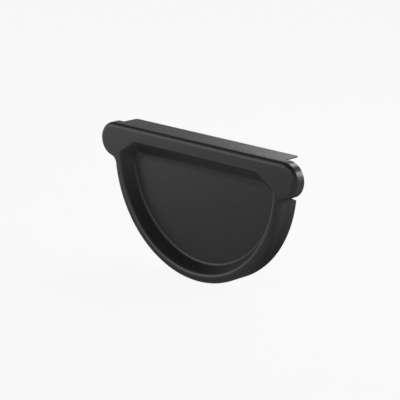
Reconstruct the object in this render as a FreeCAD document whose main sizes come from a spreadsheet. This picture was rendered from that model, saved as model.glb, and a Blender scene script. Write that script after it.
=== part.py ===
"""Gutter end cap for a half-round metal gutter: one stamped and drawn sheet, in millimetres.

The gutter's axis is Y, and it passes through the origin. The plane y = 0 is the floor of the
groove, where the gutter's cut end stops. The outer face looks along -Y, and +Z is up.
The cap is a solid block with the drawn form on its front, less the hollow behind the sheet,
and then trimmed to the short wall of the ears, the strip below and the flange on top.
"""
import FreeCAD, Part
import math
import os

import Sketcher
from FreeCAD import Placement, Rotation, Vector

# Driving dimensions: alias, value, meaning. Depths are measured from the front face,
# heights from the gutter's axis, and a bend is the radius of the bend's hollow side.
SIZES = [
    ("sheet_thickness", 0.6, "thickness of the sheet"),
    ("half_round_radius", 63.5, "outside of the drawn wall, round the gutter's axis"),
    ("top_height", 15.1, "outside of the straight top"),
    ("ear_overhang", 1.0, "centre of each ear, outside the side of the half-round"),
    ("ear_radius", 9.9, "outside of each ear"),
    ("neck_radius", 4.0, "hollow curve between ear and half-round"),
    ("crest_bend", 2.0, "bend between the face and the drawn wall"),
    ("wall_depth", 6.8, "drawn wall, where the ears end"),
    ("strip_depth", 13.4, "strip that holds the gutter from below"),
    ("strip_end_drop", 4.9, "top of the strip below the gutter's axis"),
    ("strip_end_angle", 24.5, "slant of the strip's cut ends, degrees"),
    ("flange_depth", 16.6, "straight flange along the top"),
    ("flange_setback", 2.9, "each end of the flange, inside the ear's centre"),
    ("flange_corner", 1.5, "rounding of the flange's corners"),
    ("band_flat", 2.5, "face between the crest and the pan, round the half-round"),
    ("band_height", 7.5, "face between the straight top and the pan"),
    ("pan_depth", 7.5, "flat panel behind the front face"),
    ("side_lean", 3.9, "pan's round wall, further in at the panel than at the mouth"),
    ("top_lean", 8.6, "pan's top wall, lower at the panel than at the mouth"),
    ("corner_lean", 6.5, "pan's slanted corner walls, further in at the panel"),
    ("corner_run", 11.9, "start of a slanted corner, inside the side of the mouth"),
    ("corner_angle", 33.0, "fall of the slanted corners, degrees"),
    ("corner_bend", 3.0, "bend at each end of a slanted corner"),
    ("mouth_bend", 0.6, "bend between the face and the pan's wall"),
    ("panel_bend", 4.0, "bend between the pan's wall and the panel"),
    ("crease_width", 1.2, "fold line pressed between wall and strip"),
    ("crease_depth", 0.3, "depth of the fold line"),
    ("crease_setback", 0.9, "fold line behind the end of the drawn wall"),
]
# Sizes that follow from the driving ones.
EAR_X = "(sizes.half_round_radius + sizes.ear_overhang)"
FLANGE_END = f"({EAR_X} - sizes.flange_setback)"
MOUTH_RADIUS = "(sizes.half_round_radius - sizes.crest_bend - sizes.sheet_thickness - sizes.band_flat)"
MOUTH_HEIGHT = "(sizes.top_height - sizes.band_height)"
MOUTH_REACH = (f"(({MOUTH_RADIUS} - sizes.corner_run) * sin(sizes.corner_angle * 1 deg)"
               f" + {MOUTH_HEIGHT} * cos(sizes.corner_angle * 1 deg))")
# How far cutting shapes run past what they cut.
CLEAR = 5.0
# A bend's hollow side is out of sight there, and is one slope this far along for each mm of the bend.
HIDDEN_SLOPE = 0.7

doc = FreeCAD.newDocument("gutter_end_cap")
sheet = doc.addObject("Spreadsheet::Sheet", "sizes")
for row, (alias, amount, meaning) in enumerate(SIZES, start=1):
    sheet.set(f"A{row}", alias)
    sheet.set(f"B{row}", str(amount))
    sheet.set(f"C{row}", meaning)
    sheet.setAlias(f"B{row}", alias)
doc.recompute()


def value(expression):
    """Number that an expression on the sheet gives."""
    return float(sheet.evalExpression(expression))


def new_body(name):
    body = doc.addObject("PartDesign::Body", name)
    body.Label = name
    return body


def origin_plane(body, role):
    return next(item for item in body.Origin.OriginFeatures if item.Role == role)


def new_sketch(body, name, role, offset="0"):
    """Sketch on one of the body's own planes, moved along that plane's normal."""
    sketch = body.newObject("Sketcher::SketchObject", name)
    sketch.AttachmentSupport = [(origin_plane(body, role), "")]
    sketch.MapMode = "FlatFace"
    sketch.setExpression("AttachmentOffset.Base.z", offset)
    return sketch


def constrain(sketch, *constraint, by=None):
    """Adds a constraint, bound to an expression on the sheet where one is given."""
    index = sketch.addConstraint(Sketcher.Constraint(*constraint))
    if by:
        sketch.setExpression(f"Constraints[{index}]", by)


def add_arc(sketch, centre, radius, start, end):
    """Anticlockwise arc from one direction to another, in degrees."""
    circle = Part.Circle(Vector(*centre, 0), Vector(0, 0, 1), radius)
    return sketch.addGeometry(Part.ArcOfCircle(circle, math.radians(start), math.radians(end)))


def add_line(sketch, start, end):
    return sketch.addGeometry(Part.LineSegment(Vector(*start, 0), Vector(*end, 0)))


def add_polygon(sketch, corners):
    """Closed outline of straight lines, its corners given as pairs of expressions."""
    points = [(value(by_x), value(by_y)) for by_x, by_y in corners]
    lines = [add_line(sketch, points[i - 1], points[i]) for i in range(len(points))]
    for i, (by_x, by_y) in enumerate(corners):
        constrain(sketch, "Coincident", lines[i], 2, lines[(i + 1) % len(lines)], 1)
        constrain(sketch, "DistanceX", -1, 1, lines[i], 2, points[i][0], by=by_x)
        constrain(sketch, "DistanceY", -1, 1, lines[i], 2, points[i][1], by=by_y)


def direction(centre, point):
    """Direction in degrees from a centre to a point."""
    return math.degrees(math.atan2(point[1] - centre[1], point[0] - centre[0]))


def mirrored(point):
    return (-point[0], point[1])


def feature(body, kind, name, profile=None, **settings):
    """Feature of a body, on a sketch where it has one."""
    item = body.newObject(f"PartDesign::{kind}", name)
    if profile is not None:
        item.Profile = profile
    for key, setting in settings.items():
        setattr(item, key, setting)
    return item


def finish(item, **expressions):
    """Binds the feature's sizes, and stops if it fails."""
    for key, expression in expressions.items():
        item.setExpression(key, expression)
    doc.recompute()
    if "Invalid" in item.State or "Error" in item.State or item.Shape.isNull() or not item.Shape.isValid():
        raise RuntimeError(f"{item.Name} failed: {item.getStatusString()}")
    return item


def mirror_feature(body, name, original):
    """The feature again on the other side of the cap's middle."""
    mirror = feature(body, "Mirrored", name, Originals=[original])
    mirror.MirrorPlane = (origin_plane(body, "YZ_Plane"), [""])
    body.Tip = mirror
    return finish(mirror)


def edge_names(shape, wanted):
    """Names of the edges for which wanted(edge, its box) holds."""
    edges = enumerate(shape.Edges, start=1)
    return [f"Edge{number}" for number, edge in edges if wanted(edge, edge.BoundBox)]


def edges_at(shape, y, known=()):
    """Names of the edges that lie wholly at one y, apart from those known before."""
    near = 1e-4

    def wanted(edge, box):
        flat = abs(box.YMin - y) < near and abs(box.YMax - y) < near
        return flat and all((edge.CenterOfMass - old.CenterOfMass).Length > near for old in known)

    return edge_names(shape, wanted)


def outline_sketch(body, name, offset, skin):
    """Outside of the cap: straight top, two round ears with hollow necks, and the half-round.

    skin is how far inside the cap's outer surface the outline runs.
    """
    sketch = new_sketch(body, name, "XZ_Plane", offset)
    by_big, by_ear = f"sizes.half_round_radius - {skin}", f"sizes.ear_radius - {skin}"
    by_neck, by_top = f"sizes.neck_radius + {skin}", f"sizes.top_height - {skin}"
    big, ear, neck, top = value(by_big), value(by_ear), value(by_neck), value(by_top)
    ear_at = (value(EAR_X), top - ear)
    span = math.hypot(*ear_at)
    rise = math.acos(((big + neck) ** 2 + span ** 2 - (ear + neck) ** 2) / (2 * (big + neck) * span))
    neck_turn = math.radians(direction((0, 0), ear_at)) - rise
    neck_at = ((big + neck) * math.cos(neck_turn), (big + neck) * math.sin(neck_turn))
    from_middle, from_ear = direction((0, 0), neck_at), direction(ear_at, neck_at)
    straight = add_line(sketch, (-ear_at[0], top), (ear_at[0], top))
    right_ear = add_arc(sketch, ear_at, ear, from_ear, 90)
    right_neck = add_arc(sketch, neck_at, neck, from_ear + 180, from_middle + 180)
    half_round = add_arc(sketch, (0, 0), big, 180 - from_middle, 360 + from_middle)
    left_neck = add_arc(sketch, mirrored(neck_at), neck, -from_middle, -from_ear)
    left_ear = add_arc(sketch, mirrored(ear_at), ear, 90, 180 - from_ear)
    for joint in ((straight, 2, right_ear, 2), (right_ear, 1, right_neck, 1), (right_neck, 2, half_round, 2),
                  (half_round, 1, left_neck, 1), (left_neck, 2, left_ear, 2), (left_ear, 1, straight, 1)):
        constrain(sketch, "Tangent", *joint)
    constrain(sketch, "Coincident", half_round, 3, -1, 1)
    constrain(sketch, "Symmetric", right_ear, 3, left_ear, 3, -2)
    constrain(sketch, "Equal", right_ear, left_ear)
    constrain(sketch, "Equal", right_neck, left_neck)
    constrain(sketch, "Radius", half_round, big, by=by_big)
    constrain(sketch, "Radius", right_ear, ear, by=by_ear)
    constrain(sketch, "Radius", right_neck, neck, by=by_neck)
    constrain(sketch, "DistanceX", -1, 1, right_ear, 3, ear_at[0], by=EAR_X)
    constrain(sketch, "DistanceY", -1, 1, straight, 2, top, by=by_top)
    return sketch


def pan_body(name, skin):
    """Solid of the pan: a cone's frustum, cut by the slanted planes of its top and corners.

    The pan narrows from its mouth to the panel, and skin is how far outside its front
    surface the solid reaches. It starts in front of the face that it is sunk into.
    """
    body = new_body(name)
    start = f"({skin} - {CLEAR})"
    floor = f"(sizes.pan_depth + {skin})"
    beyond = f"({floor} + {CLEAR})"
    away = f"(sizes.half_round_radius + {CLEAR})"

    def at(depth):
        return f"({depth} - sizes.sheet_thickness)"

    def wall(mouth, lean, depth):
        slope = f"(sizes.{lean} / sizes.pan_depth)"
        return f"({mouth} - {slope} * {depth} + {skin} * sqrt(1 + {slope} ^ 2))"

    profile = new_sketch(body, f"{name}_profile", "YZ_Plane")
    add_polygon(profile, [(at(start), "0"), (at(start), wall(MOUTH_RADIUS, "side_lean", start)),
                          (at(floor), wall(MOUTH_RADIUS, "side_lean", floor)), (at(floor), "0")])
    axis = (profile, ["H_Axis"])
    finish(feature(body, "Revolution", f"{name}_cone", profile, ReferenceAxis=axis, Angle=360))
    top = new_sketch(body, f"{name}_top_outline", "YZ_Plane")
    add_polygon(top, [(at(start), wall(MOUTH_HEIGHT, "top_lean", start)), (at(start), away),
                      (at(beyond), away), (at(beyond), wall(MOUTH_HEIGHT, "top_lean", beyond))])
    finish(feature(body, "Pocket", f"{name}_top", top, Type="ThroughAll", Midplane=True))
    corner = new_sketch(body, f"{name}_corner_outline", "YZ_Plane")
    corner.AttachmentOffset = Placement(Vector(), Rotation(Vector(1, 0, 0), value("sizes.corner_angle")))
    corner.setExpression("AttachmentOffset.Rotation.Angle", "sizes.corner_angle * 1 deg")
    add_polygon(corner, [(at(start), wall(MOUTH_REACH, "corner_lean", start)), (at(start), away),
                         (at(beyond), away), (at(beyond), wall(MOUTH_REACH, "corner_lean", beyond))])
    right = finish(feature(body, "Pocket", f"{name}_corner", corner, Type="ThroughAll", Midplane=True))
    both = mirror_feature(body, f"{name}_corners", right)
    deep = value("sizes.pan_depth")
    bends = edge_names(both.Shape, lambda edge, box: box.YLength > deep)
    bent = feature(body, "Fillet", f"{name}_bends", Base=(both, bends))
    finish(bent, Radius=f"sizes.corner_bend + {skin}")
    bottom = feature(body, "Fillet", f"{name}_bottom", Base=(bent, edges_at(bent.Shape, value(at(floor)))))
    finish(bottom, Radius=f"sizes.panel_bend + {skin}")
    return body


def front_bend(body, name, base, edges, bend, skin):
    """Rounds edges of the front; the hollow's are out of sight, and get one slope instead."""
    if value(skin) > 0:
        slope = feature(body, "Chamfer", name, Base=(base, edges))
        return finish(slope, Size=f"{HIDDEN_SLOPE} * {bend}")
    round_bend = feature(body, "Fillet", name, Base=(base, edges))
    return finish(round_bend, Radius=f"{bend} + sizes.sheet_thickness")


def formed_block(name, skin, length):
    """Block with the drawn form on its front: rounded crest, pan and fold line.

    With a skin of no thickness this is the cap's outer side, and with the sheet's it is
    the hollow behind the sheet.
    """
    body = new_body(name)
    front = value(f"{skin} - sizes.sheet_thickness")
    outline = outline_sketch(body, f"{name}_outline", f"sizes.sheet_thickness - {skin}", skin)
    block = finish(feature(body, "Pad", f"{name}_block", outline, Reversed=True), Length=f"{length} - {skin}")
    crest = front_bend(body, f"{name}_crest", block, edges_at(block.Shape, front), "sizes.crest_bend", skin)
    pan = feature(body, "Boolean", f"{name}_sunk", Type="Cut")
    pan.setObjects([pan_body(f"{name}_pan", skin)])
    finish(pan)
    mouth = edges_at(pan.Shape, front, known=crest.Shape.Edges)
    front_bend(body, f"{name}_mouth", pan, mouth, "sizes.mouth_bend", skin)
    crease = new_sketch(body, f"{name}_crease_outline", "XY_Plane")
    surface = f"(sizes.half_round_radius - {skin})"
    middle = "(sizes.wall_depth + sizes.crease_setback - sizes.sheet_thickness)"
    lip_front, lip_back = f"{middle} - sizes.crease_width / 2", f"{middle} + sizes.crease_width / 2"
    add_polygon(crease, [(f"{surface} - sizes.crease_depth", middle), (surface, lip_back),
                         (f"{surface} + {CLEAR}", lip_back), (f"{surface} + {CLEAR}", lip_front),
                         (surface, lip_front)])
    axis = (crease, ["V_Axis"])
    finish(feature(body, "Groove", f"{name}_crease", crease, ReferenceAxis=axis, Angle=180))
    return body


cap = formed_block("end_cap", "0", "sizes.flange_depth")
hollow = formed_block("hollow", "sizes.sheet_thickness", f"(sizes.flange_depth + {CLEAR})")
formed = feature(cap, "Boolean", "formed_sheet", Type="Cut")
formed.setObjects([hollow])
finish(formed)

# The sides are open above the strip, behind the ears' short wall and past the flange's ends.
WALL_BACK = "(sizes.wall_depth - sizes.sheet_thickness)"
STRIP_BACK = "(sizes.strip_depth - sizes.sheet_thickness)"
BEHIND = f"(sizes.flange_depth - sizes.sheet_thickness + {CLEAR})"
ABOVE = f"(sizes.top_height + {CLEAR})"
BELOW = f"(-sizes.half_round_radius - {CLEAR})"
slanted_end = f"-sizes.strip_end_drop - tan(sizes.strip_end_angle * 1 deg) * ({BEHIND} - {WALL_BACK})"
side_gap = new_sketch(cap, "side_gap_outline", "YZ_Plane", FLANGE_END)
add_polygon(side_gap, [(WALL_BACK, "-sizes.strip_end_drop"), (WALL_BACK, ABOVE),
                       (BEHIND, ABOVE), (BEHIND, slanted_end)])
right_gap = finish(feature(cap, "Pocket", "right_gap", side_gap, Type="ThroughAll", Reversed=True))
mirror_feature(cap, "both_gaps", right_gap)

# The strip stops short of the flange's depth.
strip_end = new_sketch(cap, "strip_end_outline", "YZ_Plane")
add_polygon(strip_end, [(STRIP_BACK, BELOW), (STRIP_BACK, "0"), (BEHIND, "0"), (BEHIND, BELOW)])
trimmed = finish(feature(cap, "Pocket", "strip_trim", strip_end, Type="ThroughAll", Midplane=True))


def at_flange_corner(edge, box):
    """Whether an edge is one of the two short upright ones at the flange's far corners."""
    near = 1e-4
    centre = edge.CenterOfMass
    upright = box.XLength < near and box.YLength < near
    at_end = abs(abs(centre.x) - value(FLANGE_END)) < near
    return upright and at_end and abs(centre.y - value("sizes.flange_depth - sizes.sheet_thickness")) < near


corner_edges = edge_names(trimmed.Shape, at_flange_corner)
corners = feature(cap, "Fillet", "flange_corners", Base=(trimmed, corner_edges))
finish(corners, Radius="sizes.flange_corner")

if len(cap.Shape.Solids) != 1 or not cap.Shape.isValid():
    raise RuntimeError("the cap is not one valid solid")
os.makedirs("parts", exist_ok=True)
cap.Shape.exportStep(f"parts/{cap.Label}.step")
box = cap.Shape.optimalBoundingBox()
print(f"{cap.Label}: {box.XLength:.1f} x {box.YLength:.1f} x {box.ZLength:.1f} mm")
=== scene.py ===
"""Looks of a gutter end cap: one pressed sheet, painted graphite grey, in a plain studio."""

import math

import bmesh
import bpy
from mathutils import Matrix, Vector


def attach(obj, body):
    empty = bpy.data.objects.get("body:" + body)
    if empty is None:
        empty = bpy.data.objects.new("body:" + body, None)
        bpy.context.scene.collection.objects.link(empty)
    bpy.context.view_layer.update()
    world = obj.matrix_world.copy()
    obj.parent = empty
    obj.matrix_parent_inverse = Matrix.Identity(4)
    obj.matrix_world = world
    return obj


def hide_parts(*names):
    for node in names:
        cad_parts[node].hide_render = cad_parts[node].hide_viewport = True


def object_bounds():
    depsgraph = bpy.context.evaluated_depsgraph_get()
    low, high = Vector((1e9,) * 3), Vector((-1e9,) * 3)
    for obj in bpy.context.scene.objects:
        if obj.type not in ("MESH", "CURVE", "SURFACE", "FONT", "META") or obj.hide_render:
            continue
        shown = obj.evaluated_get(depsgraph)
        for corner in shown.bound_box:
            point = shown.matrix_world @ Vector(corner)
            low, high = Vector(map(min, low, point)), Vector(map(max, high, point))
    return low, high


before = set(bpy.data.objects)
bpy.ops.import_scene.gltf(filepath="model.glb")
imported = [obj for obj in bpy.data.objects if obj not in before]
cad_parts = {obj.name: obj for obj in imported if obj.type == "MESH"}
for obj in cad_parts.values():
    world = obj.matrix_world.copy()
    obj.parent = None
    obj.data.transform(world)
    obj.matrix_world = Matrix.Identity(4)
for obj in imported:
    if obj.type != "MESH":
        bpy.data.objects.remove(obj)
CAD_LOW, CAD_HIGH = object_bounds()

bl_info = {
    "name": "Gutter end cap",
    "version": (1, 0, 0),
    "blender": (4, 5, 0),
    "location": "View3D > Sidebar > Gutter cap",
    "description": "Presses, paints and stages an end cap for a half-round gutter",
    "category": "Object",
}

MM = 0.001
# Vertices closer than this are one.
MERGE = 0.001 * MM
# Facets of the round stretches: an ear, a neck, a quarter of the half-round, a bend of the sheet.
EAR_STEPS = 36
NECK_STEPS = 7
QUARTER_STEPS = 56
BEND_STEPS = 8
CORNER_STEPS = 8
# An edge that turns more than this is sharp.
SHARP_TURN = math.radians(38)
# The paint is lighter from the face this far into the pan's mouth: rubbed paint, and a painted highlight
# along the mouth's edge.
RUBBED_AND_HIGHLIGHT_DEPTH = 0.5 * MM
# What a gloss shows of the floor, by metres to the right of the cap plus a half.
FLOOR_RIGHT = ((0.20, 0.88), (0.40, 0.38), (0.57, 0.38), (0.64, 0.58))
# The cap's own shade on it, by metres behind the cap and to its right, each plus a half.
SHADE_BEHIND = ((0.485, 0.0), (0.505, 0.55), (0.52, 0.90), (0.555, 0.85), (0.60, 0.40), (0.70, 0.0))
SHADE_RIGHT = ((0.37, 0.0), (0.42, 1.0), (0.55, 1.0), (0.585, 0.45), (0.635, 0.0))
# What it shows of the backdrop, by how far back and how high it looks.
BACKDROP_BEHIND = ((0.20, 0.10), (0.58, 0.32), (0.63, 0.20), (0.68, 0.0), (0.70, 0.0), (0.72, 0.60),
                   (0.735, 1.0))
BACKDROP_ABOVE = ((0.27, 1.0), (0.42, 0.0))
# What it shows of a broad soft window in front on the left. A direction of -1 to 1 is 0 to 1 here.
WINDOW_BEHIND = ((0.28, 1.0), (0.45, 0.0))
WINDOW_RIGHT = ((0.50, 1.0), (0.75, 0.35), (0.95, 0.0))
WINDOW_ABOVE = ((0.50, 0.50), (0.60, 0.60), (0.70, 0.90), (0.77, 1.0), (0.83, 0.15), (0.87, 0.0))
# Half the floor's side, in metres.
FLOOR_REACH = 6
FLANGE_CORNER_STEPS = 5
# Place and width in metres of each lamp.
KEY_LAMP = (Vector((-0.44, -0.42, 0.14)), 0.40)
RIM_LAMP = (Vector((-0.02, 0.40, 0.37)), 0.16)
SIDE_LAMP = (Vector((0.37, 0.40, 0.23)), 0.15)
# Size of the broad clouds in the paint, and of the small ones.
CLOUD_SIZE = 28 * MM
FINE_CLOUD_SIZE = 2.2 * MM
# The roughness may fall below the plain one by no more than this.
SMOOTHER = 0.04


def length(name, description, millimetres):
    """Property for a length, its default given in millimetres."""
    return bpy.props.FloatProperty(name=name, description=description, default=millimetres * MM,
                                   min=0, precision=5, unit="LENGTH")


def turn(name, description, degrees):
    return bpy.props.FloatProperty(name=name, description=description, default=math.radians(degrees),
                                   subtype="ANGLE")


def share(name, description, default):
    return bpy.props.FloatProperty(name=name, description=description, default=default, min=0, max=1,
                                   subtype="FACTOR")


def amount(name, description, default):
    return bpy.props.FloatProperty(name=name, description=description, default=default, min=0)


def colour(name, description, default):
    return bpy.props.FloatVectorProperty(name=name, description=description, default=default,
                                         size=3, min=0, max=1, subtype="COLOR")


class CapSizes(bpy.types.PropertyGroup):
    """Sizes of the pressed sheet. Depths are from the front face, heights from the gutter's axis."""

    sheet_thickness: length("Sheet", "Thickness of the sheet", 0.6)
    half_round_radius: length("Half-round", "Outside of the drawn wall", -CAD_LOW.z / MM)
    top_height: length("Top", "Outside of the straight top", CAD_HIGH.z / MM)
    half_length: length("Half length", "Middle to the outside of an ear", CAD_HIGH.x / MM)
    ear_radius: length("Ear", "Outside of each ear", 9.9)
    neck_radius: length("Neck", "Hollow curve between ear and half-round", 4.0)
    crest_bend: length("Crest", "Outside bend between face and wall", 2.6)
    wall_depth: length("Wall", "Drawn wall, where the ears end", 6.8)
    strip_depth: length("Strip", "Strip that holds the gutter from below", 13.4)
    strip_end_drop: length("Strip's end", "Top of the strip below the axis", 4.9)
    strip_end_angle: turn("Strip's slant", "Slant of the strip's cut ends", 24.5)
    flange_depth: length("Flange", "Straight flange along the top", (CAD_HIGH.y - CAD_LOW.y) / MM)
    flange_setback: length("Flange's ends", "End of the flange inside the ear's centre", 2.9)
    flange_corner: length("Flange's corners", "Rounding of the flange's corners", 1.5)
    band_flat: length("Face round the side", "Flat of the face outside the pan", 2.5)
    band_height: length("Face above the pan", "Face between top and pan", 7.5)
    pan_depth: length("Pan", "Flat panel behind the front face", 7.5)
    side_lean: length("Side's lean", "Round wall, further in at the panel", 3.9)
    top_lean: length("Top's lean", "Top wall, lower at the panel", 8.6)
    corner_lean: length("Corner's lean", "Slanted corner, further in at the panel", 6.5)
    corner_run: length("Corner's start", "Slanted corner inside the mouth's side", 11.9)
    corner_angle: turn("Corner's slant", "Fall of the slanted corners", 33)
    corner_bend: length("Corner's bends", "Bend at each end of a slanted corner", 3.0)
    mouth_bend: length("Mouth's bend", "Outside bend between face and pan's round wall", 2.4)
    top_mouth_bend: length("Mouth's bend above", "The same bend at the top wall", 1.4)
    panel_bend: length("Panel's bend", "Inside bend between pan's round wall and panel", 2.0)
    top_panel_bend: length("Panel's bend above", "The same bend at the top wall and corners", 7.5)
    crease_width: length("Fold line", "Fold line pressed between wall and strip", 1.2)
    crease_depth: length("Fold line's depth", "Depth of the fold line", 0.3)
    crease_setback: length("Fold line's place", "Fold line behind the drawn wall", 0.9)


class PaintLook(bpy.types.PropertyGroup):
    """Baked paint on the sheet."""

    graphite: colour("Graphite", "Colour of the paint", (0.022, 0.022, 0.0225))
    roughness: share("Roughness", "Roughness of the paint", 0.33)
    cloudiness: share("Clouds", "Unevenness of the paint's colour", 0.12)
    grain_size: length("Grain", "Size of the fine grain", 1.0)
    speckle: amount("Speckle", "How much the colour varies with the grain", 1.5)
    patches: share("Dull specks", "How much the roughness varies with the grain", 0.7)
    grain_height: length("Grain's height", "Height of the fine grain", 0.035)
    # Lightens the paint along the pan's mouth: rubbed paint, and a painted highlight there.
    wear_and_highlight: amount("Wear", "How much lighter the paint has rubbed along the pan's mouth", 2.0)
    ripple_size: length("Ripple", "Size of the paint's slow ripple", 7.0)
    ripple_height: length("Ripple's height", "Height of the slow ripple", 0.02)


class StudioLook(bpy.types.PropertyGroup):
    """Camera, floor and light."""

    azimuth: turn("Azimuth", "Camera's turn round the cap, from straight in front", 45.3)
    elevation: turn("Elevation", "Camera's height above the horizon", 15.58)
    roll: turn("Roll", "Camera's roll", -0.3)
    distance: length("Distance", "Camera to the point it looks at", 1021.25)
    look_at: bpy.props.FloatVectorProperty(
        name="Looks at", description="Point in the middle of the picture",
        default=(5.45 * MM, -0.74 * MM, -16.13 * MM), size=3, precision=5, subtype="TRANSLATION")
    lens: amount("Lens", "Focal length in millimetres", 171.1)
    floor_colour: colour("Floor", "Colour of floor and backdrop", (0.86, 0.86, 0.86))
    floor_glow: share("Floor's glow", "Share of plain white that the camera sees on the floor", 0.92)
    floor_light: amount("Floor's light", "Strength of the light that comes up from the floor", 0.60)
    room_light: amount("Room", "Strength of the light from all round", 0.16)
    dark_room: amount("Dark room", "Strength of the room in a gloss, away from the backdrop", 0.16)
    backdrop: amount("Backdrop", "Strength of the backdrop in a gloss", 2.3)
    window: amount("Window", "Strength of the soft window in a gloss", 0.95)
    key_power: amount("Key lamp", "Power of the soft lamp in front on the left, in watts", 0.45)
    rim_power: amount("Rim lamp", "Power of the small lamp above and behind, in watts", 0.65)
    side_power: amount("Side lamp", "Power of the small lamp behind on the right, in watts", 0.9)


class Shade:
    """A number in a material, worked out by nodes from the sockets it comes from."""

    def __init__(self, nodes, socket):
        self.nodes, self.socket = nodes, socket

    def _math(self, operation, *operands):
        values = [item.socket if isinstance(item, Shade) else item for item in operands]
        return self.nodes.add("ShaderNodeMath", {"operation": operation}, dict(enumerate(values)))

    def __add__(self, other):
        return self._math("ADD", self, other)

    __radd__ = __add__

    def __sub__(self, other):
        return self._math("SUBTRACT", self, other)

    def __rsub__(self, other):
        return self._math("SUBTRACT", other, self)

    def __mul__(self, other):
        return self._math("MULTIPLY", self, other)

    __rmul__ = __mul__

    def at_least(self, other):
        return self._math("MAXIMUM", self, other)

    def at_most(self, other):
        return self._math("MINIMUM", self, other)


class Nodes:
    """Empty node tree of a material or a world."""

    def __init__(self, owner):
        owner.use_nodes = True
        self.tree = owner.node_tree
        self.tree.nodes.clear()

    def add(self, kind, settings=None, inputs=None, output=0):
        """One node: its settings first, then the values or links of its sockets."""
        node = self.tree.nodes.new(kind)
        for key, setting in (settings or {}).items():
            setattr(node, key, setting)
        for key, given in (inputs or {}).items():
            source = given.socket if isinstance(given, Shade) else given
            if isinstance(source, bpy.types.NodeSocket):
                self.tree.links.new(source, node.inputs[key])
            else:
                node.inputs[key].default_value = source
        return Shade(self, node.outputs[output]) if node.outputs else node

    def ramp(self, factor, stops):
        """Number that changes along a ramp with the factor; each stop is a place and a value."""
        node = self.tree.nodes.new("ShaderNodeValToRGB")
        elements = node.color_ramp.elements
        while len(elements) < len(stops):
            elements.new(1)
        for element, (place, level) in zip(elements, stops):
            element.position = place
            element.color = (level, level, level, 1)
        self.tree.links.new(factor.socket, node.inputs["Fac"])
        return Shade(self, node.outputs["Color"])


def start_vertex(bm, x, depth, z):
    made = bmesh.ops.create_vert(bm, co=(x, CAD_LOW.y + depth, z))
    return made["vert"][0]


def draw_line(bm, vertex, x, z):
    """Extrudes the vertex to a place in its own plane, and gives the new end."""
    made = bmesh.ops.extrude_vert_indiv(bm, verts=[vertex])
    end = made["verts"][0]
    bmesh.ops.translate(bm, verts=[end], vec=Vector((x, vertex.co.y, z)) - end.co)
    return end


def draw_arc(bm, vertex, centre, clockwise, steps):
    """Spins the vertex in its own plane, clockwise from the front, and gives the new end."""
    made = bmesh.ops.spin(bm, geom=[vertex], cent=(centre[0], vertex.co.y, centre[1]), axis=(0, 1, 0),
                          dvec=(0, 0, 0), angle=clockwise, steps=steps, use_merge=False,
                          use_normal_flip=False, use_duplicate=False)
    return next(item for item in made["geom_last"] if isinstance(item, bmesh.types.BMVert))


def close_loop(bm, known):
    """Mirrors the half outline drawn since the known edges, and gives the whole loop's edges."""
    half = [edge for edge in bm.edges if edge not in known]
    vertices = {vertex for edge in half for vertex in edge.verts}
    bmesh.ops.mirror(bm, geom=[*vertices, *half], matrix=Matrix.Identity(4), merge_dist=MERGE, axis="X")
    return [edge for edge in bm.edges if edge not in known]


def heading(start, end):
    """Direction from one point to another, anticlockwise from +X."""
    return math.atan2(end[1] - start[1], end[0] - start[0])


def outside_loop(bm, sizes, inset, depth):
    """Outline of the cap at a depth: straight top, ears, hollow necks and half-round."""
    known = set(bm.edges)
    big, ear, neck = sizes.half_round_radius, sizes.ear_radius, sizes.neck_radius
    ear_at = (sizes.half_length - ear, sizes.top_height - ear)
    span = math.hypot(*ear_at)
    rise = math.acos(((big + neck) ** 2 + span ** 2 - (ear + neck) ** 2) / (2 * (big + neck) * span))
    neck_turn = heading((0, 0), ear_at) - rise
    neck_at = ((big + neck) * math.cos(neck_turn), (big + neck) * math.sin(neck_turn))
    from_ear = heading(ear_at, neck_at)
    to_strip = math.pi + math.asin((sizes.strip_end_drop + neck_at[1]) / neck)
    top = sizes.top_height - inset
    vertex = start_vertex(bm, 0, depth, top)
    vertex = draw_line(bm, vertex, ear_at[0] - sizes.flange_setback, top)
    vertex = draw_line(bm, vertex, ear_at[0], top)
    vertex = draw_arc(bm, vertex, ear_at, math.pi / 2 - from_ear, EAR_STEPS)
    vertex = draw_arc(bm, vertex, neck_at, from_ear + math.pi - to_strip, NECK_STEPS)
    vertex = draw_arc(bm, vertex, neck_at, to_strip - math.pi - neck_turn, NECK_STEPS)
    draw_arc(bm, vertex, (0, 0), math.pi / 2 + neck_turn, QUARTER_STEPS)
    return close_loop(bm, known)


def wall_place(mouth, lean, mouth_bend, panel_bend, sizes, depth):
    """How far out a wall of the pan is at a depth, with its bends at mouth and panel."""
    slope = lean / sizes.pan_depth
    bend_angle = math.atan(1 / slope)
    room = math.tan(bend_angle / 2)
    above_panel = sizes.pan_depth - depth
    if depth < mouth_bend * (1 - math.cos(bend_angle)):
        at = math.acos(1 - depth / mouth_bend)
        return mouth + mouth_bend * (room - math.sin(at))
    if above_panel < panel_bend * (1 - math.cos(bend_angle)):
        at = math.acos(1 - above_panel / panel_bend)
        return mouth - lean - panel_bend * (room - math.sin(at))
    return mouth - slope * depth


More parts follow.
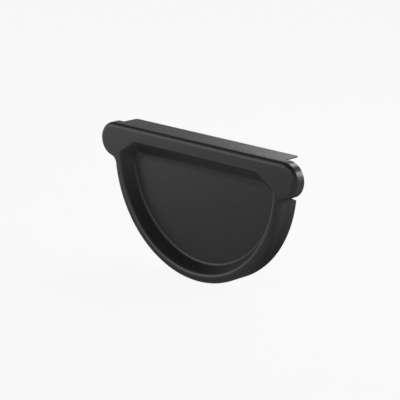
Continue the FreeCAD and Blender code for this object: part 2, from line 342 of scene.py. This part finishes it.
def pan_loop(bm, sizes, depth):
    """Outline of the pan at a depth: straight top, slanted corners and half-round."""
    known = set(bm.edges)
    mouth_radius = sizes.half_round_radius - sizes.crest_bend - sizes.band_flat
    mouth_height = sizes.top_height - sizes.band_height
    slant = sizes.corner_angle
    away = (math.sin(slant), math.cos(slant))
    along = (math.cos(slant), -math.sin(slant))
    mouth_reach = (mouth_radius - sizes.corner_run) * away[0] + mouth_height * away[1]
    side_bends = (sizes.mouth_bend, sizes.panel_bend)
    top_bends = (sizes.top_mouth_bend, sizes.top_panel_bend)
    radius = wall_place(mouth_radius, sizes.side_lean, *side_bends, sizes, depth)
    height = wall_place(mouth_height, sizes.top_lean, *top_bends, sizes, depth)
    reach = wall_place(mouth_reach, sizes.corner_lean, *top_bends, sizes, depth)
    bend = sizes.corner_bend + radius - (mouth_radius - sizes.side_lean * depth / sizes.pan_depth)
    inner = reach - bend
    upper = ((inner - (height - bend) * away[1]) / away[0], height - bend)
    run = math.sqrt((radius - bend) ** 2 - inner ** 2)
    lower = (inner * away[0] + run * along[0], inner * away[1] + run * along[1])
    lower_turn = heading((0, 0), lower)
    vertex = start_vertex(bm, 0, depth, height)
    vertex = draw_line(bm, vertex, upper[0], height)
    vertex = draw_arc(bm, vertex, upper, slant, CORNER_STEPS)
    vertex = draw_line(bm, vertex, lower[0] + bend * away[0], lower[1] + bend * away[1])
    vertex = draw_arc(bm, vertex, lower, math.pi / 2 - slant - lower_turn, CORNER_STEPS)
    draw_arc(bm, vertex, (0, 0), math.pi / 2 + lower_turn, QUARTER_STEPS)
    return close_loop(bm, known)


def bridge_all(bm, loops):
    for first, second in zip(loops, loops[1:]):
        bmesh.ops.bridge_loops(bm, edges=first + second)


def pan_depths(sizes):
    """Depths of the pan's loops: close together in the bends, none between mouth and panel."""
    depths = set()
    for lean, mouth_bend, panel_bend in ((sizes.side_lean, sizes.mouth_bend, sizes.panel_bend),
                                         (sizes.top_lean, sizes.top_mouth_bend, sizes.top_panel_bend)):
        steepest = math.atan(sizes.pan_depth / lean)
        for step in range(BEND_STEPS + 1):
            fall = 1 - math.cos(steepest * step / BEND_STEPS)
            depths.add(mouth_bend * fall)
            depths.add(sizes.pan_depth - panel_bend * fall)
    return sorted(depths)


def mark_rubbed_and_highlight(layer, depth, edges):
    """Marks how much lighter the paint is on one of the pan's loops near the mouth: rubbed paint, and a
    painted highlight along the mouth's edge.
    """
    if depth < RUBBED_AND_HIGHLIGHT_DEPTH:
        for vertex in {vertex for edge in edges for vertex in edge.verts}:
            vertex[layer] = math.sin(math.pi * math.sqrt(depth / RUBBED_AND_HIGHLIGHT_DEPTH))


def pull_back(bm, edges, distance, inset=0, radius=1):
    """Extrudes edges straight back, drawn in towards the gutter's axis by the inset."""
    made = bmesh.ops.extrude_edge_only(bm, edges=edges)["geom"]
    vertices = [item for item in made if isinstance(item, bmesh.types.BMVert)]
    bmesh.ops.translate(bm, verts=vertices, vec=(0, distance, 0))
    bmesh.ops.scale(bm, verts=vertices, vec=(1 - inset / radius, 1, 1 - inset / radius))
    ends = set(vertices)
    return [item for item in made if isinstance(item, bmesh.types.BMEdge) and set(item.verts) <= ends]


def add_strip(bm, sizes, back_loop):
    """Strip that reaches back under the gutter, with its fold line and slanted ends."""
    top = -sizes.strip_end_drop + MERGE
    edges = [edge for edge in back_loop if all(vertex.co.z < top for vertex in edge.verts)]
    known = set(bm.faces)
    lip, half = sizes.crease_setback - sizes.crease_width / 2, sizes.crease_width / 2
    radius, pressed = sizes.half_round_radius, sizes.crease_depth
    edges = pull_back(bm, edges, lip)
    edges = pull_back(bm, edges, half, pressed, radius)
    edges = pull_back(bm, edges, half, -pressed, radius - pressed)
    pull_back(bm, edges, sizes.strip_depth - sizes.wall_depth - lip - sizes.crease_width)
    faces = [face for face in bm.faces if face not in known]
    fixed = set(back_loop)
    cut_edges = {edge for face in faces for edge in face.edges} - fixed
    cut_vertices = {vertex for edge in cut_edges for vertex in edge.verts}
    cut_vertices -= {vertex for edge in fixed for vertex in edge.verts}
    slant = sizes.strip_end_angle
    bmesh.ops.bisect_plane(bm, geom=[*faces, *cut_edges, *cut_vertices], dist=MERGE,
                           plane_co=(0, CAD_LOW.y + sizes.wall_depth, -sizes.strip_end_drop),
                           plane_no=(0, math.sin(slant), math.cos(slant)), clear_outer=True)


def add_flange(bm, sizes, back_loop):
    """Straight flange along the top, with rounded corners."""
    end = sizes.half_length - sizes.ear_radius - sizes.flange_setback + MERGE
    top = sizes.top_height - MERGE
    edges = [edge for edge in back_loop
             if all(abs(vertex.co.x) < end and vertex.co.z > top for vertex in edge.verts)]
    back = pull_back(bm, edges, sizes.flange_depth - sizes.wall_depth)
    corners = {vertex for edge in back for vertex in edge.verts if len(vertex.link_faces) == 1}
    bmesh.ops.bevel(bm, geom=list(corners), offset=sizes.flange_corner, offset_type="OFFSET",
                    segments=FLANGE_CORNER_STEPS, profile=0.5, affect="VERTICES", clamp_overlap=False,
                    material=-1)


def press_sheet(bm, sizes):
    """Front side of the sheet, then its thickness."""
    # Share of lighter paint at each vertex near the pan's mouth: rubbed paint, and a painted highlight.
    rubbed_and_highlight = bm.verts.layers.float.new("rubbed_and_highlight")
    crest = sizes.crest_bend
    outside = [outside_loop(bm, sizes, 0, sizes.wall_depth)]
    for step in range(BEND_STEPS + 1):
        at = math.pi / 2 * step / BEND_STEPS
        outside.append(outside_loop(bm, sizes, crest * (1 - math.cos(at)), crest * (1 - math.sin(at))))
    depths = pan_depths(sizes)
    pan = [pan_loop(bm, sizes, depth) for depth in depths]
    for depth, edges in zip(depths, pan):
        mark_rubbed_and_highlight(rubbed_and_highlight, depth, edges)
    bridge_all(bm, outside)
    bridge_all(bm, pan)
    bmesh.ops.triangle_fill(bm, edges=outside[-1] + pan[0], use_beauty=True, use_dissolve=False)
    panel = bmesh.ops.edgeloop_fill(bm, edges=pan[-1])["faces"][0]
    add_strip(bm, sizes, outside[0])
    add_flange(bm, sizes, outside[0])
    bmesh.ops.remove_doubles(bm, verts=bm.verts, dist=MERGE)
    bmesh.ops.recalc_face_normals(bm, faces=bm.faces)
    panel.normal_update()
    if panel.normal.y > 0:
        bmesh.ops.reverse_faces(bm, faces=bm.faces)
    bmesh.ops.solidify(bm, geom=bm.faces, thickness=sizes.sheet_thickness)
    for face in bm.faces:
        face.smooth = True
    for edge in bm.edges:
        edge.smooth = len(edge.link_faces) == 2 and edge.calc_face_angle() < SHARP_TURN


def graphite_paint(look):
    """Dark grey baked paint: faint clouds, a fine grain and a slow ripple from the rolled sheet."""
    material = bpy.data.materials.new("graphite_paint")
    nodes = Nodes(material)
    place = nodes.add("ShaderNodeTexCoord", output="Object")

    def noise(size, detail, seed):
        return nodes.add("ShaderNodeTexNoise", {"noise_dimensions": "4D"}, {
            "Vector": place, "W": seed, "Scale": 1 / size, "Detail": detail, "Roughness": 0.55})

    grain = noise(look.grain_size, 2, 1.0)
    ripple = noise(look.ripple_size, 1, 5.0)
    clouds = noise(CLOUD_SIZE, 3, 9.0)
    fine_clouds = noise(FINE_CLOUD_SIZE, 3, 13.0)
    # Lighter along the pan's mouth: rubbed paint, and a painted highlight.
    rubbed_and_highlight = nodes.add("ShaderNodeAttribute", {"attribute_name": "rubbed_and_highlight"}, output="Fac")
    tone = 1 + look.cloudiness * (clouds + fine_clouds - 1) + look.speckle * (grain - 0.5)
    tone = tone + look.wear_and_highlight * rubbed_and_highlight * (0.5 + fine_clouds)
    paint = nodes.add("ShaderNodeVectorMath", {"operation": "SCALE"}, {0: look.graphite, "Scale": tone})
    height = grain * look.grain_height + ripple * look.ripple_height
    bump = nodes.add("ShaderNodeBump", None, {"Height": height, "Distance": 1.0, "Strength": 1.0})
    roughness = look.roughness + 0.10 * (fine_clouds - 0.5) + 0.06 * (clouds - 0.5)
    roughness = (roughness + look.patches * (grain - 0.5)).at_least(look.roughness - SMOOTHER)
    shader = nodes.add("ShaderNodeBsdfPrincipled", None, {
        "Base Color": paint, "Roughness": roughness, "Normal": bump, "IOR": 1.5})
    nodes.add("ShaderNodeOutputMaterial", None, {"Surface": shader})
    return material


def ray_kinds(nodes):
    """Two numbers: 1 for the camera's rays, and 1 for those that a gloss or a clear thing sends on."""
    camera = nodes.add("ShaderNodeLightPath", output="Is Camera Ray")
    glossy = nodes.add("ShaderNodeLightPath", output="Is Glossy Ray")
    clear = nodes.add("ShaderNodeLightPath", output="Is Transmission Ray")
    return camera, (glossy + clear).at_most(1)


def floor_material(look):
    """Pale floor, white to the camera. A gloss shows it by ramps, with the cap's shade painted on it."""
    material = bpy.data.materials.new("pale_floor")
    nodes = Nodes(material)
    camera, mirrored = ray_kinds(nodes)
    place = nodes.add("ShaderNodeTexCoord", output="Object")
    right = nodes.add("ShaderNodeSeparateXYZ", None, {"Vector": place}, output="X")
    behind = nodes.add("ShaderNodeSeparateXYZ", None, {"Vector": place}, output="Y")
    shade = nodes.ramp(behind + 0.5, SHADE_BEHIND) * nodes.ramp(right + 0.5, SHADE_RIGHT)
    shine = nodes.ramp(right + 0.5, FLOOR_RIGHT) * (1 - shade)
    plain = nodes.add("ShaderNodeBsdfDiffuse", None, {"Color": (*look.floor_colour, 1)})
    strength = camera + mirrored * shine + (1 - camera - mirrored) * look.floor_light
    white = nodes.add("ShaderNodeEmission", None, {"Color": (1, 1, 1, 1), "Strength": strength})
    surface = nodes.add("ShaderNodeMixShader", None, {
        "Fac": 1 - camera * (1 - look.floor_glow), 1: plain, 2: white})
    nodes.add("ShaderNodeOutputMaterial", None, {"Surface": surface})
    return material


def light_room(look):
    """World: even grey for the light, white to the camera; a gloss shows a dark room with a backdrop
    and a window."""
    nodes = Nodes(bpy.context.scene.world)
    camera, mirrored = ray_kinds(nodes)
    place = nodes.add("ShaderNodeTexCoord", output="Generated")
    right = nodes.add("ShaderNodeSeparateXYZ", None, {"Vector": place}, output="X")
    behind = nodes.add("ShaderNodeSeparateXYZ", None, {"Vector": place}, output="Y")
    above = nodes.add("ShaderNodeSeparateXYZ", None, {"Vector": place}, output="Z")
    backdrop = nodes.ramp(behind, BACKDROP_BEHIND) * nodes.ramp(above, BACKDROP_ABOVE)
    window = nodes.ramp(behind * 0.5 + 0.5, WINDOW_BEHIND) * nodes.ramp(right * 0.5 + 0.5, WINDOW_RIGHT)
    window = window * nodes.ramp(above * 0.5 + 0.5, WINDOW_ABOVE)
    shine = backdrop * look.backdrop + window * look.window + look.dark_room
    strength = camera + mirrored * shine + (1 - camera - mirrored) * look.room_light
    background = nodes.add("ShaderNodeBackground", None, {"Color": (1, 1, 1, 1), "Strength": strength})
    nodes.add("ShaderNodeOutputWorld", None, {"Surface": background})


def add_lamp(name, place, width, target, power):
    """Square soft lamp that faces the target."""
    light = bpy.data.lights.new(name, "AREA")
    light.size, light.energy = width, power
    lamp = bpy.data.objects.new(name, light)
    lamp.location = place
    lamp.rotation_mode = "QUATERNION"
    lamp.rotation_quaternion = (target - place).to_track_quat("-Z", "Y")
    bpy.context.scene.collection.objects.link(lamp)
    return lamp


def add_camera(look):
    camera = bpy.data.objects.new("camera", bpy.data.cameras.new("camera"))
    camera.data.lens = look.lens
    camera.data.clip_end = 100
    facing = Matrix.Rotation(look.azimuth, 4, "Z") @ Matrix.Rotation(math.pi / 2 - look.elevation, 4, "X")
    facing = facing @ Matrix.Rotation(look.roll, 4, "Z")
    place = Vector(look.look_at) + facing @ Vector((0, 0, look.distance))
    camera.matrix_world = Matrix.Translation(place) @ facing
    bpy.context.scene.collection.objects.link(camera)
    bpy.context.scene.camera = camera


class GUTTERCAP_OT_press_cap(bpy.types.Operator):
    """Press the end cap from one sheet and paint it"""

    bl_idname = "gutter_cap.press_cap"
    bl_label = "Press end cap"

    def execute(self, context):
        bm = bmesh.new()
        press_sheet(bm, context.scene.cap_sizes)
        mesh = bpy.data.meshes.new("pressed_cap")
        bm.to_mesh(mesh)
        bm.free()
        cap = bpy.data.objects.new("pressed_cap", mesh)
        context.scene.collection.objects.link(cap)
        mesh.materials.append(graphite_paint(context.scene.paint_look))
        weighted = cap.modifiers.new("flat_faces_stay_flat", "WEIGHTED_NORMAL")
        weighted.keep_sharp = True
        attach(cap, "root")
        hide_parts("end_cap")
        return {"FINISHED"}


class GUTTERCAP_OT_set_stage(bpy.types.Operator):
    """Set the floor, the light and the camera"""

    bl_idname = "gutter_cap.set_stage"
    bl_label = "Set stage"

    def execute(self, context):
        look = context.scene.studio_look
        context.scene.view_settings.view_transform = "Standard"
        bm = bmesh.new()
        bmesh.ops.create_grid(bm, x_segments=1, y_segments=1, size=FLOOR_REACH)
        bmesh.ops.translate(bm, verts=bm.verts, vec=(0, 0, CAD_LOW.z))
        mesh = bpy.data.meshes.new("floor")
        bm.to_mesh(mesh)
        bm.free()
        mesh.materials.append(floor_material(look))
        floor = bpy.data.objects.new("floor", mesh)
        context.scene.collection.objects.link(floor)
        if context.scene.world is None:
            context.scene.world = bpy.data.worlds.new("studio")
        light_room(look)
        middle = (CAD_LOW + CAD_HIGH) / 2
        key = add_lamp("key_lamp", *KEY_LAMP, middle, look.key_power)
        rim = add_lamp("rim_lamp", *RIM_LAMP, middle, look.rim_power)
        side = add_lamp("side_lamp", *SIDE_LAMP, middle, look.side_power)
        add_camera(look)
        return {"FINISHED"}


class GUTTERCAP_PT_sidebar(bpy.types.Panel):
    """Sizes, paint and studio, with the buttons that build them"""

    bl_label = "Gutter end cap"
    bl_space_type = "VIEW_3D"
    bl_region_type = "UI"
    bl_category = "Gutter cap"

    def draw(self, context):
        for group, operator in ((context.scene.cap_sizes, None), (context.scene.paint_look, "press_cap"),
                                (context.scene.studio_look, "set_stage")):
            column = self.layout.column()
            for name in group.__annotations__:
                column.prop(group, name)
            if operator:
                column.operator(f"gutter_cap.{operator}")


CLASSES = (CapSizes, PaintLook, StudioLook, GUTTERCAP_OT_press_cap, GUTTERCAP_OT_set_stage,
           GUTTERCAP_PT_sidebar)


def register():
    for item in CLASSES:
        bpy.utils.register_class(item)
    bpy.types.Scene.cap_sizes = bpy.props.PointerProperty(type=CapSizes)
    bpy.types.Scene.paint_look = bpy.props.PointerProperty(type=PaintLook)
    bpy.types.Scene.studio_look = bpy.props.PointerProperty(type=StudioLook)


def unregister():
    del bpy.types.Scene.cap_sizes, bpy.types.Scene.paint_look, bpy.types.Scene.studio_look
    for item in reversed(CLASSES):
        bpy.utils.unregister_class(item)


def main():
    register()
    bpy.ops.gutter_cap.press_cap()
    bpy.ops.gutter_cap.set_stage()


if __name__ == "__main__":
    main()
